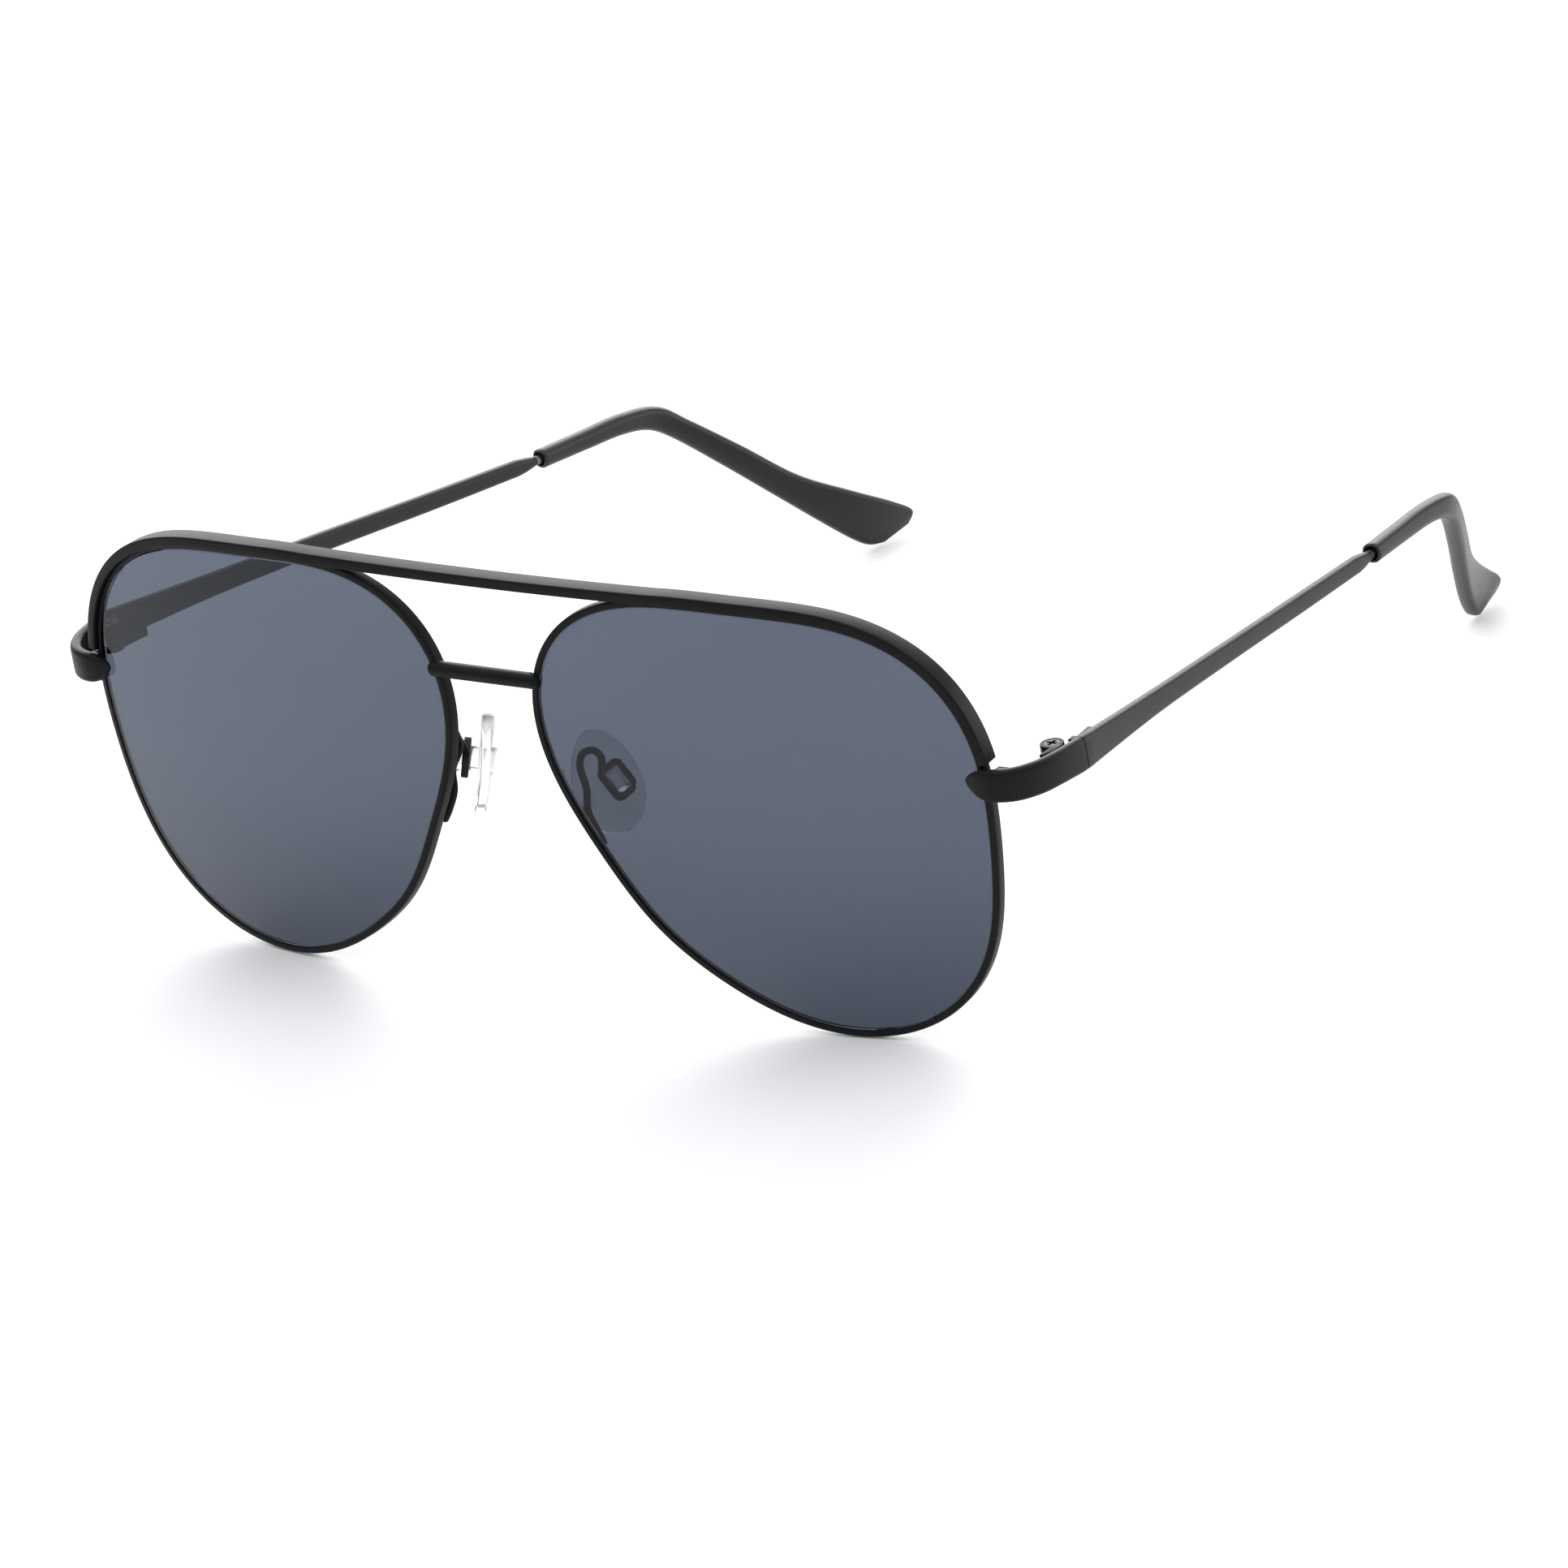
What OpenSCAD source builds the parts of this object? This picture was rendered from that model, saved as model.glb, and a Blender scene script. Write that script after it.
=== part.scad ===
// Aviator sunglasses with a brow bar and a bridge bar, standing open on a table.
// X runs across the face to the wearer's left, Y back to the ears, Z up. Millimetres.

/* [Lenses] */
// Gap between the two lenses at the height of their centres
bridge_gap = 20.6; // [20:0.1:21.2]
// Reach of the lens edge from its centre, every 30 degrees from the ear side over the top
lens_reach = [29.8, 31.7, 28.8, 26.4, 30.3, 33.4, 27.1, 23.5, 23.4, 26.1, 29.7, 30.5]; // [20:0.1:36]
// Thickness of a lens
lens_thick = 1.2; // [1:0.1:1.4]
// Radius of the lens surface
lens_radius = 250; // [180:5:300]
// Turn of each lens towards the ear, in degrees
wrap_angle = 6; // [5:0.5:7]
// Forward lean of the lens tops, in degrees
lean_angle = 1.4; // [1:0.1:3]

/* [Rims and bars] */
// Width of the rim wire, seen from the front
rim_width = 0.9; // [0.7:0.05:1.2]
// Depth of the rim wire, front to back
rim_depth = 1.5; // [1.4:0.1:2]
// Height of the brow bar above the rims
brow_height = 0.9; // [0.7:0.1:1.4]
// Depth of the brow bar, front to back
brow_depth = 2.5; // [2:0.1:3.2]
// Drop of the brow bar's front lip over the rims
brow_lip = 0.4; // [0.2:0.1:0.5]
// Diameter of the lower bridge bar
bridge_diameter = 2; // [1.6:0.1:2.4]
// Height of the lower bridge bar above the lens centres
bridge_rise = 15.7; // [15:0.1:16.4]

/* [Hinges] */
// Distance of each hinge screw from the middle of the frame
hinge_x = 72; // [71.8:0.1:72]
// Distance of each hinge screw behind the lens centres
hinge_y = 12.2; // [12:0.1:12.4]
// Height of the hinge's middle above the lens centres
hinge_rise = 7.2; // [7:0.1:7.4]
// Height of the hinge's three knuckles together
hinge_height = 3.6; // [3.2:0.1:4]
// Diameter of a knuckle
knuckle_diameter = 2.9; // [2.7:0.1:2.9]
// Diameter of the hinge screw's shank
screw_diameter = 1.2; // [1:0.1:1.4]
// Radial running clearance of the hinge screw in the moving knuckle
screw_clearance = 0.04; // [0.02:0.01:0.08]
// Width of the parting line between endpiece and temple
parting_gap = 0.12; // [0.1:0.02:0.2]

/* [Temples] */
// Height of the temple at the hinge
temple_height = 4.2; // [4:0.1:4.4]
// Thickness of the metal temple
temple_thick = 1.5; // [1.3:0.1:1.6]
// Diameter of the core wire inside the plastic tip
core_diameter = 1.2; // [1:0.1:1.3]

/* [Nose pads] */
// Length of a nose pad
pad_length = 13; // [12:0.5:14]
// Thickness of a nose pad
pad_thick = 2.3; // [1.8:0.1:2.6]
// Diameter of the pad arm's wire
arm_diameter = 0.9; // [0.8:0.05:1]

/* [Hidden] */
$fn = 48;

metal = [0.2, 0.2, 0.21];
steel = [0.35, 0.35, 0.37];
plastic = [0.12, 0.12, 0.12];
tint = [0.32, 0.35, 0.42];
clear = [0.85, 0.87, 0.88];

// Reach samples are 30 degrees apart, so there are twelve round the lens.
samples = len(lens_reach);
outline_step = 5;
lens_x = bridge_gap / 2 + lens_reach[samples / 2];

// ---- Lens outline and the curved plane that it lies in ----

function kernel(a) = abs(sin(a / 2)) < 0.001 ? 1
    : sin(samples * a / 2) * cos(a / 2) / (samples * sin(a / 2));
function reach(a) = lens_reach * [for (k = [0:samples - 1]) kernel(a - 360 / samples * k)];
function edge(a) = reach(a) * [cos(a), sin(a)];
function edge_out(a) = let (t = edge(a + 1) - edge(a - 1)) [t[1], -t[0]] / norm(t);
function sag(p) = lens_radius - sqrt(pow(lens_radius, 2) - p * p);

// A point p of the lens plane, so far behind the lens's middle surface, in the frame.
function on_face(p, back) =
    let (y = sag(p) + back,
        y_lean = y * cos(lean_angle) - p[1] * sin(lean_angle),
        z_lean = y * sin(lean_angle) + p[1] * cos(lean_angle))
    [lens_x + p[0] * cos(wrap_angle) - y_lean * sin(wrap_angle),
        p[0] * sin(wrap_angle) + y_lean * cos(wrap_angle), z_lean];

// A point so far out from the lens edge at angle a.
function off_edge(a, out, back) = on_face(edge(a) + out * edge_out(a), back);

// ---- Curves and swept solids ----

// Catmull-Rom curve through the points p, each span in so many steps.
function span(p, i, t) =
    let (a = p[max(i - 1, 0)], b = p[i], c = p[i + 1], d = p[min(i + 2, len(p) - 1)])
    b + 0.5 * t * (c - a + t * (2 * a - 5 * b + 4 * c - d + t * (3 * (b - c) + d - a)));
function curve(p, steps) =
    [for (i = [0:len(p) - 2]) for (k = [0:steps - 1]) span(p, i, k / steps), p[len(p) - 1]];

function unit(v) = v / norm(v);
function xyz(p) = [p[0], p[1], p[2]];
function mean(v) = [for (p = v) 1] * v / len(v);
function direction(p, i) = unit(xyz(p[min(i + 1, len(p) - 1)]) - xyz(p[max(i - 1, 0)]));

// Rings of the section round each point of the path; side is across the path and level.
function sweep_rings(path, sections, level) = [for (i = [0:len(path) - 1])
    let (t = direction(path, i), side = unit(cross(t, level)), up = cross(side, t))
    [for (q = sections[i]) xyz(path[i]) + q[0] * side + q[1] * up]];

// A rounded rectangle, w across and h high, with n points.
function bar_section(w, h, n) = [for (j = [0:n - 1])
    let (a = 360 / n * (j + 0.5), c = cos(a), s = sin(a))
    [sign(c) * sqrt(abs(c)) * w / 2, sign(s) * sqrt(abs(s)) * h / 2]];
function round_section(d, n) = [for (j = [0:n - 1]) d / 2 * [cos(360 / n * j), sin(360 / n * j)]];

// A closed solid through the rings, with a fan over each end.
module skin(rings) {
    n = len(rings);
    m = len(rings[0]);
    points = concat([for (r = rings) each r], [mean(rings[0]), mean(rings[n - 1])]);
    walls = [for (i = [0:n - 2]) for (j = [0:m - 1])
        let (a = i * m + j, b = i * m + (j + 1) % m) each [[a, b, b + m], [a, b + m, a + m]]];
    ends = [for (j = [0:m - 1]) let (k = (j + 1) % m)
        each [[n * m, k, j], [n * m + 1, (n - 1) * m + j, (n - 1) * m + k]]];
    polyhedron(points, concat(walls, ends));
}

// ---- Rims and lenses ----

cut_angle = 11.6;
cut_half = 0.3;
groove = 0.42;
groove_half = 0.4;
rim_chamfer = 0.2;
lens_play = 0.03;
rim_turn = 360 - 2 * cut_half;
rim_stations = [for (k = [0:360 / outline_step]) cut_angle - cut_half - rim_turn * k * outline_step / 360];

module rim(side) {
    h = rim_depth / 2;
    c = rim_chamfer;
    w = rim_width;
    section = [[0, -groove_half], [0, -h + c / 2], [c / 2, -h], [w - c, -h], [w, -h + c], [w, h - c],
        [w - c, h], [c / 2, h], [0, h - c / 2], [0, groove_half], [groove, 0]];
    color(metal) fitted(side)
        skin([for (a = rim_stations) [for (q = section) off_edge(a, q[0], q[1])]]);
}

module lens(side) {
    angles = [0:outline_step:359];
    t = lens_thick / 2;
    dome = [1 / 3, 2 / 3];
    shelf = groove_half - lens_play;
    bevel = [[-lens_play, -t], [-lens_play, -shelf], [groove - 2 * lens_play, 0], [-lens_play, shelf],
        [-lens_play, t]];
    front = [for (s = dome) [for (a = angles) on_face(s * edge(a), -t)]];
    rim_rings = [for (q = bevel) [for (a = angles) off_edge(a, q[0], q[1])]];
    rear = [for (s = [dome[1], dome[0]]) [for (a = angles) on_face(s * edge(a), t)]];
    color(tint) fitted(side) skin(concat(front, rim_rings, rear));
}

// ---- Bars ----

brow_start = 17;
brow_seat = rim_width + 0.03;
brow_leave = 112;

function brow_ring(a) = let (front = -rim_depth / 2 - 0.05 - 0.65, top = rim_width + brow_height)
    [for (q = brow_section(front, top)) off_edge(a, q[0], q[1])];
function brow_section(front, top) = let (c = 0.2, lip = front + 0.65)
    [[rim_width - brow_lip, front + c], [rim_width - brow_lip, lip], [brow_seat, lip],
        [brow_seat, front + brow_depth - c], [brow_seat + c, front + brow_depth],
        [top - c, front + brow_depth], [top, front + brow_depth - c], [top, front + c],
        [top - c, front], [rim_width - brow_lip + c, front]];

// Rings over the nose are blended from the last ring on one rim to its mirror image.
function blend_ring(ring, s) = [for (p = ring)
    let (x = p[0] * s) [x, p[1] + (1 - s * s) * brow_bow[1], p[2] + (1 - s * s) * brow_bow[2]]];
brow_bow = [0, -0.1, -0.3];

module brow_bar() {
    far = brow_ring(brow_leave);
    left = [for (a = [brow_start:(brow_leave - brow_start) / 20:brow_leave + 0.01]) brow_ring(a)];
    middle = [for (s = [0.75, 0.5, 0.25, 0]) blend_ring(far, s)];
    half = concat(left, middle);
    other = [for (i = [len(half) - 2:-1:0]) [for (p = half[i]) [-p[0], p[1], p[2]]]];
    color(metal) fitted() skin(concat(half, other));
}

bridge_half = 8.5;
bridge_front = -1.95;
bridge_wall = 6.95;
bridge_seat = -2.03;

// A round-ended bar whose ends are flat where they are soldered to the rims' fronts.
module bridge_bar() {
    straight = bridge_half - bridge_diameter / 2;
    color(metal) fitted() difference() {
        translate([0, bridge_front, bridge_rise]) rotate([0, 90, 0]) {
            cylinder(d = bridge_diameter, h = 2 * straight, center = true);
            for (x = [-1, 1]) translate([0, 0, x * straight]) sphere(d = bridge_diameter);
        }
        for (m = [0, 1]) mirror([m, 0, 0])
            translate([bridge_wall, bridge_seat, bridge_rise - bridge_diameter])
                cube([bridge_half, 2 * bridge_diameter, 2 * bridge_diameter]);
    }
}

// ---- Endpieces ----

parting_y = hinge_y + 1.9;
// Middle line of the left endpiece from its point to the parting line: x, y, z, height, thickness.
endpiece_line = [[65.5, 3.6, 7.2, 0.6, 0.5], [66.1, 3.6, 7.15, 1.9, 0.9], [67.6, 3.5, 7, 3.6, 1.4],
    [69.5, 3.7, 6.9, 4, 1.5], [71.7, 4.9, 6.9, 4.1, 1.5], [73.4, 7.2, 7, 4.1, 1.5],
    [74.2, 10, 7.1, 4.1, 1.5], [74.6, parting_y - 0.7, 7.1, temple_height, 1.5]];
endpiece_rear = [74.61, parting_y - parting_gap / 2, 7.1, temple_height, 1.5];

// The room that the left rim and lens take behind the band that is soldered to the rim.
seat_gap = 0.01;

module seat(first, last) {
    front = -rim_depth / 2 - seat_gap;
    section = [[-4, front], [rim_width + seat_gap, front], [rim_width + seat_gap, 3], [-4, 3]];
    skin([for (a = [first:outline_step / 2:last]) [for (q = section) off_edge(a, q[0], q[1])]]);
}

module endpiece(side) {
    line = concat(curve(endpiece_line, 3), [endpiece_rear]);
    color(metal) fitted(side) difference() {
        skin(sweep_rings(line, [for (p = line) bar_section(p[4], p[3], 12)], [0, 0, 1]));
        seat(0, 30);
    }
}

// ---- Closing blocks and screws ----

block_size = [2, 2, 1.7];
block_at = [69.05, 5.8, 6.2];
block_gap = 0.1;
closing_diameter = 0.9;
closing_head = 1.5;
closing_head_height = 0.5;

module closing_block(side, level) {
    rise = level * (block_size[2] + block_gap) / 2;
    color(metal) fitted(side) translate(block_at + [0, 0, rise]) difference() {
        cube(block_size, center = true);
        cylinder(d = closing_diameter + 0.06, h = 2 * block_size[2], center = true);
        if (level > 0) translate([0, 0, block_size[2] / 2 - closing_head_height])
            cylinder(d = closing_head + 0.06, h = block_size[2]);
    }
}

module cross_slot(length, width, depth) {
    for (a = [0, 90]) rotate(a) cube([length, width, 2 * depth], center = true);
}

module headed_screw(head, head_height, shank, length) {
    difference() {
        union() {
            translate([0, 0, -head_height]) cylinder(d = head, h = head_height);
            translate([0, 0, -length]) cylinder(d = shank, h = length);
        }
        cross_slot(0.7 * head, 0.18 * head, 0.6 * head_height);
    }
}

module closing_screw(side) {
    top = block_size[2] + block_gap / 2 - 0.02;
    color(steel) fitted(side) translate(block_at + [0, 0, top])
        headed_screw(closing_head, closing_head_height - 0.04, closing_diameter,
            2 * block_size[2] + block_gap - 0.1);
}

// ---- Hinges ----

hinge_at = [hinge_x, hinge_y, hinge_rise];
knuckle_gap = 0.05;
middle_knuckle = 1.3;
outer_knuckle = (hinge_height - middle_knuckle) / 2 - knuckle_gap;
screw_head = 2.1;
screw_head_height = 0.5;
leaf_in = 0.6;
leaf_out = 1.5;

module knuckle(height) {
    cylinder(d = knuckle_diameter, h = height, center = true);
}

module hinge_front_leaf(side) {
    bore = screw_diameter + 0.04;
    rise = (hinge_height - outer_knuckle) / 2;
    color(metal) fitted(side) translate(hinge_at) difference() {
        union() {
            for (z = [-rise, rise]) translate([0, 0, z]) knuckle(outer_knuckle);
            translate([0, 0, -hinge_height / 2]) linear_extrude(hinge_height)
                polygon([[leaf_in, -3.4], [leaf_in + 0.46, -3.4], [leaf_out - 0.06, -2.1],
                    [leaf_out + 0.08, -1.2], [leaf_out + 0.08, 0], [leaf_in, 0]]);
        }
        cylinder(d = knuckle_diameter + 0.3, h = middle_knuckle + 2 * knuckle_gap, center = true);
        cylinder(d = bore, h = 2 * hinge_height, center = true);
        translate([0, 0, hinge_height / 2 - screw_head_height])
            cylinder(d = screw_head + 0.06, h = hinge_height);
    }
}

temple_swing = atan2(9.3, 70);
leaf_length = 5;
leaf_thick = 0.9;
leaf_height = 3.8;
leaf_low = 0.9;
leaf_lip = 1.2;

module hinge_temple_leaf(side) {
    plate_front = parting_y + parting_gap / 2 - hinge_y;
    color(metal) fitted(side) translate(hinge_at) difference() {
        union() {
            knuckle(middle_knuckle);
            translate([0, 0.1, -middle_knuckle / 2])
                cube([leaf_out - 0.08, plate_front + 0.3, middle_knuckle]);
            translate([leaf_out + 0.3, plate_front, -leaf_height / 2 - leaf_low]) rotate(temple_swing)
                translate([-leaf_thick, 0, 0]) {
                    cube([leaf_thick, leaf_length, leaf_height]);
                    cube([leaf_thick, leaf_lip, leaf_height + 0.5]);
                }
        }
        cylinder(d = screw_diameter + 2 * screw_clearance, h = 2 * hinge_height, center = true);
    }
}

module hinge_screw(side) {
    color(steel) fitted(side) translate(hinge_at + [0, 0, hinge_height / 2 - 0.03])
        headed_screw(screw_head, screw_head_height - 0.05, screw_diameter, hinge_height - 0.1);
}

// ---- Temples ----

// Middle line of the left temple: x, y, z, height, thickness, with a neck at its rear end.
temple_front = [74.61, parting_y + parting_gap / 2, 7.1, temple_height, temple_thick];
temple_line = [[74.6, parting_y + 0.7, 7.1, temple_height, temple_thick],
    [72.3, 32, 5.75, 3, temple_thick], [69.8, 51, 4, 2.6, temple_thick],
    [67.3, 69, 2.2, 2.4, temple_thick], [65.3, 84, 0.8, 2.2, temple_thick]];
temple_neck = [[65.1, 85.5, 0.65, 1.9, 1.4], [64.85, 87.4, 0.5, core_diameter, core_diameter]];

module temple(side) {
    line = concat([temple_front], curve(temple_line, 2), temple_neck);
    color(metal) fitted(side) skin(sweep_rings(line, [for (p = line) bar_section(p[4], p[3], 12)],
        [0, 0, 1]));
}

// The left tip's lower edge, upper edge and thickness from its mouth to its rounded end.
tip_edges = [[64.7, 88.3, -0.8, 64.7, 88.3, 1.7, 2.4], [63.7, 96, -1.3, 63.7, 96, 1.3, 2.4],
    [62.9, 102.5, -1.8, 62.8, 103, 0.9, 2.4], [62.1, 107, -2.9, 61.8, 109.2, -0.4, 2.4],
    [60.6, 110.2, -5.2, 60, 112.9, -3.6, 2.4], [57.2, 115.4, -11, 56.4, 118.2, -9, 2.3],
    [53.4, 120.6, -17.2, 52.6, 123.8, -15, 2.2], [50.2, 125.2, -22.6, 49, 130.2, -19.6, 2.1],
    [48.4, 128.2, -25.8, 46.9, 135.8, -22.6, 2], [47.6, 130, -27.1, 46.3, 138, -25.2, 1.7],
    [47, 131.8, -27.5, 46.3, 137, -26.7, 0.9]];
wire_end = 7;
wire_play = 0.04;

function low_edge(p) = [p[0], p[1], p[2]];
function high_edge(p) = [p[3], p[4], p[5]];
function mid_tip(p) = (low_edge(p) + high_edge(p)) / 2;
wire_line = [for (i = [0:wire_end]) mid_tip(tip_edges[i])];

module core_wire(side) {
    line = concat([[64.85, 87.42, 0.5]], curve(wire_line, 3));
    color(steel) fitted(side) skin(sweep_rings(line,
        [for (p = line) round_section(core_diameter, 8)], [0, 0, 1]));
}

// The tip is a sleeve: its outside runs to the end, and its bore is blind.
function tip_outside() = let (rows = curve(tip_edges, 3), mids = [for (p = rows) mid_tip(p)])
    [for (i = [0:len(rows) - 1]) let (half = (high_edge(rows[i]) - low_edge(rows[i])) / 2,
        across = unit(cross(direction(mids, i), half)) * rows[i][6] / 2)
        [for (q = bar_section(2, 2, 12)) mids[i] + q[0] * across + q[1] * half]];

module temple_tip(side) {
    hole = curve(wire_line, 3);
    color(plastic) fitted(side) difference() {
        skin(tip_outside());
        skin(sweep_rings(hole, [for (p = hole) round_section(core_diameter + 2 * wire_play, 8)],
            [0, 0, 1]));
    }
}

// ---- Nose pads ----

pad_at = [9.65, 6.6, -0.15];
// The pad faces the nose, turned back by its splay, out at the bottom by its flare, and tipped.
pad_splay = 33;
pad_flare = 16;
pad_tip = 3;
pad_offset = 0.8;
ring_back = 2.65;
ring_size = [3.4, 4.7];
ring_wall = 0.85;
ring_thick = 0.9;
ring_turn = 18;
clip_play = 0.22;

// Pad space: X away from the nose, Y across the pad towards the back, Z up the pad.
module at_pad() {
    translate(pad_at) rotate([-pad_tip, -pad_flare, 0]) rotate([0, 0, -pad_splay]) children();
}

// The left pad's middle plane outline: half width over its length, an egg with its wide end down.
function pad_half_width(s) = 4.2 * sqrt(max(0, 1 - s * s)) * (1 - 0.16 * s);

module nose_pad(side) {
    levels = [1, 0.93, 0.82, 0.65, 0.4, 0.1, -0.2, -0.5, -0.75, -0.92, -1];
    rings = [for (s = levels) let (w = max(0.4, pad_half_width(s)), z = s * pad_length / 2,
        t = pad_thick * (0.55 + 0.45 * sqrt(1 - 0.9 * s * s)))
        [for (q = bar_section(t, 2 * w, 12)) [q[0] + 0.012 * z * z, q[1] - pad_offset, z]]];
    color(clear) fitted(side) at_pad() difference() {
        skin(rings);
        rotate([ring_turn, 0, 0]) translate([0.2, -clip_size[0] / 2 - 0.03, -clip_size[1] / 2 - 0.03])
            cube([2, clip_size[0] + 0.06, clip_size[1] + 0.06]);
    }
}

// The clip's shank fills the ring's window but for its play, and its head is wider than the window.
clip_size = ring_size - [1, 1] * 2 * (ring_wall + clip_play / 2);
clip_head = clip_size + [0.8, 0.8];

module pad_clip(side) {
    rear = ring_back + ring_thick / 2 + 0.25;
    color(clear) fitted(side) at_pad() rotate([ring_turn, 0, 0]) {
        translate([0.25, -clip_size[0] / 2, -clip_size[1] / 2])
            cube([rear - 0.25, clip_size[0], clip_size[1]]);
        translate([rear, -clip_head[0] / 2, -clip_head[1] / 2]) cube([0.4, clip_head[0], clip_head[1]]);
    }
}

// Middle line of the left pad arm: a foot on the rim, up, over and back to the ring.
arm_line = [[12.3, 0.03, -5.4], [11.45, 0.25, -3.95], [10.4, 0.45, -1.6], [10.4, 0.9, 1], [9.4, 1.6, 3.4],
    [9.7, 2, 4.9], [10.7, 2.7, 5.3], [11.2, 3.5, 4.3], [10.8, 3.9, 2.7], [10.6, 4, 1.9]];

module pad_arm(side) {
    line = curve(arm_line, 3);
    color(metal) fitted(side) {
        skin(sweep_rings(line, [for (p = line) round_section(arm_diameter, 8)], [1, 0, 0]));
        at_pad() rotate([ring_turn, 0, 0]) translate([ring_back, 0, 0]) rotate([90, 0, 90])
            linear_extrude(ring_thick, center = true) difference() {
                square(ring_size, center = true);
                square(ring_size - [1, 1] * 2 * ring_wall, center = true);
                translate([ring_size[0] / 2, -ring_size[1] / 2]) circle(d = 1.3 * ring_wall);
            }
    }
}

// ---- Place on the table ----

// The rims' lowest point is on the table, and the origin is in the middle of the footprint.
rim_foot = rim_depth / 2 - rim_chamfer;
lens_drop = -min([for (a = rim_stations) for (b = [-rim_foot, rim_foot])
    off_edge(a, rim_width, b)[2]]);
tip_rear = max([for (ring = tip_outside()) for (p = ring) p[1]]);
setback = (tip_rear + bridge_front - bridge_diameter / 2) / 2;

// Puts a part that is drawn from the lens centres on the table, on the left or the right.
module fitted(side = 1) {
    translate([0, -setback, lens_drop])
        if (side > 0) children();
        else mirror([1, 0, 0]) children();
}

rim(1);  // left_rim
rim(-1);  // right_rim
lens(1);  // left_lens
lens(-1);  // right_lens
brow_bar();
bridge_bar();
endpiece(1);  // left_endpiece
endpiece(-1);  // right_endpiece
closing_block(1, 1);  // left_closing_block_upper
closing_block(-1, 1);  // right_closing_block_upper
closing_block(1, -1);  // left_closing_block_lower
closing_block(-1, -1);  // right_closing_block_lower
closing_screw(1);  // left_closing_screw
closing_screw(-1);  // right_closing_screw
pad_arm(1);  // left_pad_arm
pad_arm(-1);  // right_pad_arm
nose_pad(1);  // left_nose_pad
nose_pad(-1);  // right_nose_pad
pad_clip(1);  // left_pad_clip
pad_clip(-1);  // right_pad_clip
hinge_front_leaf(1);  // left_hinge_front_leaf
hinge_front_leaf(-1);  // right_hinge_front_leaf
hinge_temple_leaf(1);  // left_hinge_temple_leaf
hinge_temple_leaf(-1);  // right_hinge_temple_leaf
hinge_screw(1);  // left_hinge_screw
hinge_screw(-1);  // right_hinge_screw
temple(1);  // left_temple
temple(-1);  // right_temple
core_wire(1);  // left_core_wire
core_wire(-1);  // right_core_wire
temple_tip(1);  // left_temple_tip
temple_tip(-1);  // right_temple_tip
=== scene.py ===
"""Aviator sunglasses with a brow bar and a bridge bar, standing open on a pale floor.

Lengths in this script are millimetres from the height and depth of the lens centres,
and place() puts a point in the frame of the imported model, in metres.
"""

import math

import bmesh
import bpy
import numpy as np
from mathutils import Matrix, Vector


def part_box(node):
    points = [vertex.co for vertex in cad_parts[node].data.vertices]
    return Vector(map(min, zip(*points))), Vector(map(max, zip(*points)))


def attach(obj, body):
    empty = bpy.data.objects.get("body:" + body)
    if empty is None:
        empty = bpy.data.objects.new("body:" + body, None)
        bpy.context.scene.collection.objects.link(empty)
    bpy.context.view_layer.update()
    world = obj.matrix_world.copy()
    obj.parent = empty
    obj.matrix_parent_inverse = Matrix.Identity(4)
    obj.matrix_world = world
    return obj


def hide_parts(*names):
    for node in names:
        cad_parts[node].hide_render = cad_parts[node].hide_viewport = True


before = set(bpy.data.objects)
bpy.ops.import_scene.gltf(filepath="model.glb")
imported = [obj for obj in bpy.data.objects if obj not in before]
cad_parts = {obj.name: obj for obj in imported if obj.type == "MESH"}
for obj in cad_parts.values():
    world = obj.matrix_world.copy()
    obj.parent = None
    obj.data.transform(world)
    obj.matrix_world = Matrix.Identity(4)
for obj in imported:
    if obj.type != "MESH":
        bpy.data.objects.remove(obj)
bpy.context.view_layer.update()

# ---------------------------------------------------------------- place in the frame

HINGE = np.array([72.0, 12.2, 7.2])
BRIDGE_RISE = 15.7
hinge_low, hinge_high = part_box("left_hinge_screw")
bridge_low, bridge_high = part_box("bridge_bar")
SETBACK = HINGE[1] - 500 * (hinge_low.y + hinge_high.y)
DROP = 500 * (bridge_low.z + bridge_high.z) - BRIDGE_RISE
SHIFT = np.array([0.0, -SETBACK, DROP])


def place(points, side=1):
    """Points in millimetres from the lens centres, in the frame in metres, mirrored for side -1."""
    p = (np.asarray(points, float) + SHIFT) / 1000
    p[..., 0] *= side
    return p


# ---------------------------------------------------------------- lens outline

BRIDGE_GAP = 20.6
LENS_REACH = np.array([29.8, 31.7, 28.8, 26.4, 30.3, 33.4, 27.1, 23.5, 23.4, 26.1, 29.7, 30.5])
SAMPLES = len(LENS_REACH)
LENS_X = BRIDGE_GAP / 2 + LENS_REACH[SAMPLES // 2]
LENS_RADIUS = 250.0
LENS_THICK = 1.2
WRAP = math.radians(6)
LEAN = math.radians(1.4)
RIM_WIDTH = 0.9
RIM_HALF = 0.75


def kernel(a):
    s = np.sin(a / 2)
    near = np.abs(s) < 0.001
    s = np.where(near, 1, s)
    return np.where(near, 1, np.sin(SAMPLES * a / 2) * np.cos(a / 2) / (SAMPLES * s))


def reach(deg):
    a = np.radians(np.asarray(deg, float))[..., None]
    step = 2 * np.pi / SAMPLES * np.arange(SAMPLES)
    return (kernel(a - step) * LENS_REACH).sum(-1)


def edge(deg):
    a = np.radians(np.asarray(deg, float))
    return reach(deg)[..., None] * np.stack([np.cos(a), np.sin(a)], -1)


def edge_out(deg):
    t = edge(np.asarray(deg) + 1) - edge(np.asarray(deg) - 1)
    n = np.stack([t[..., 1], -t[..., 0]], -1)
    return n / np.linalg.norm(n, axis=-1, keepdims=True)


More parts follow.
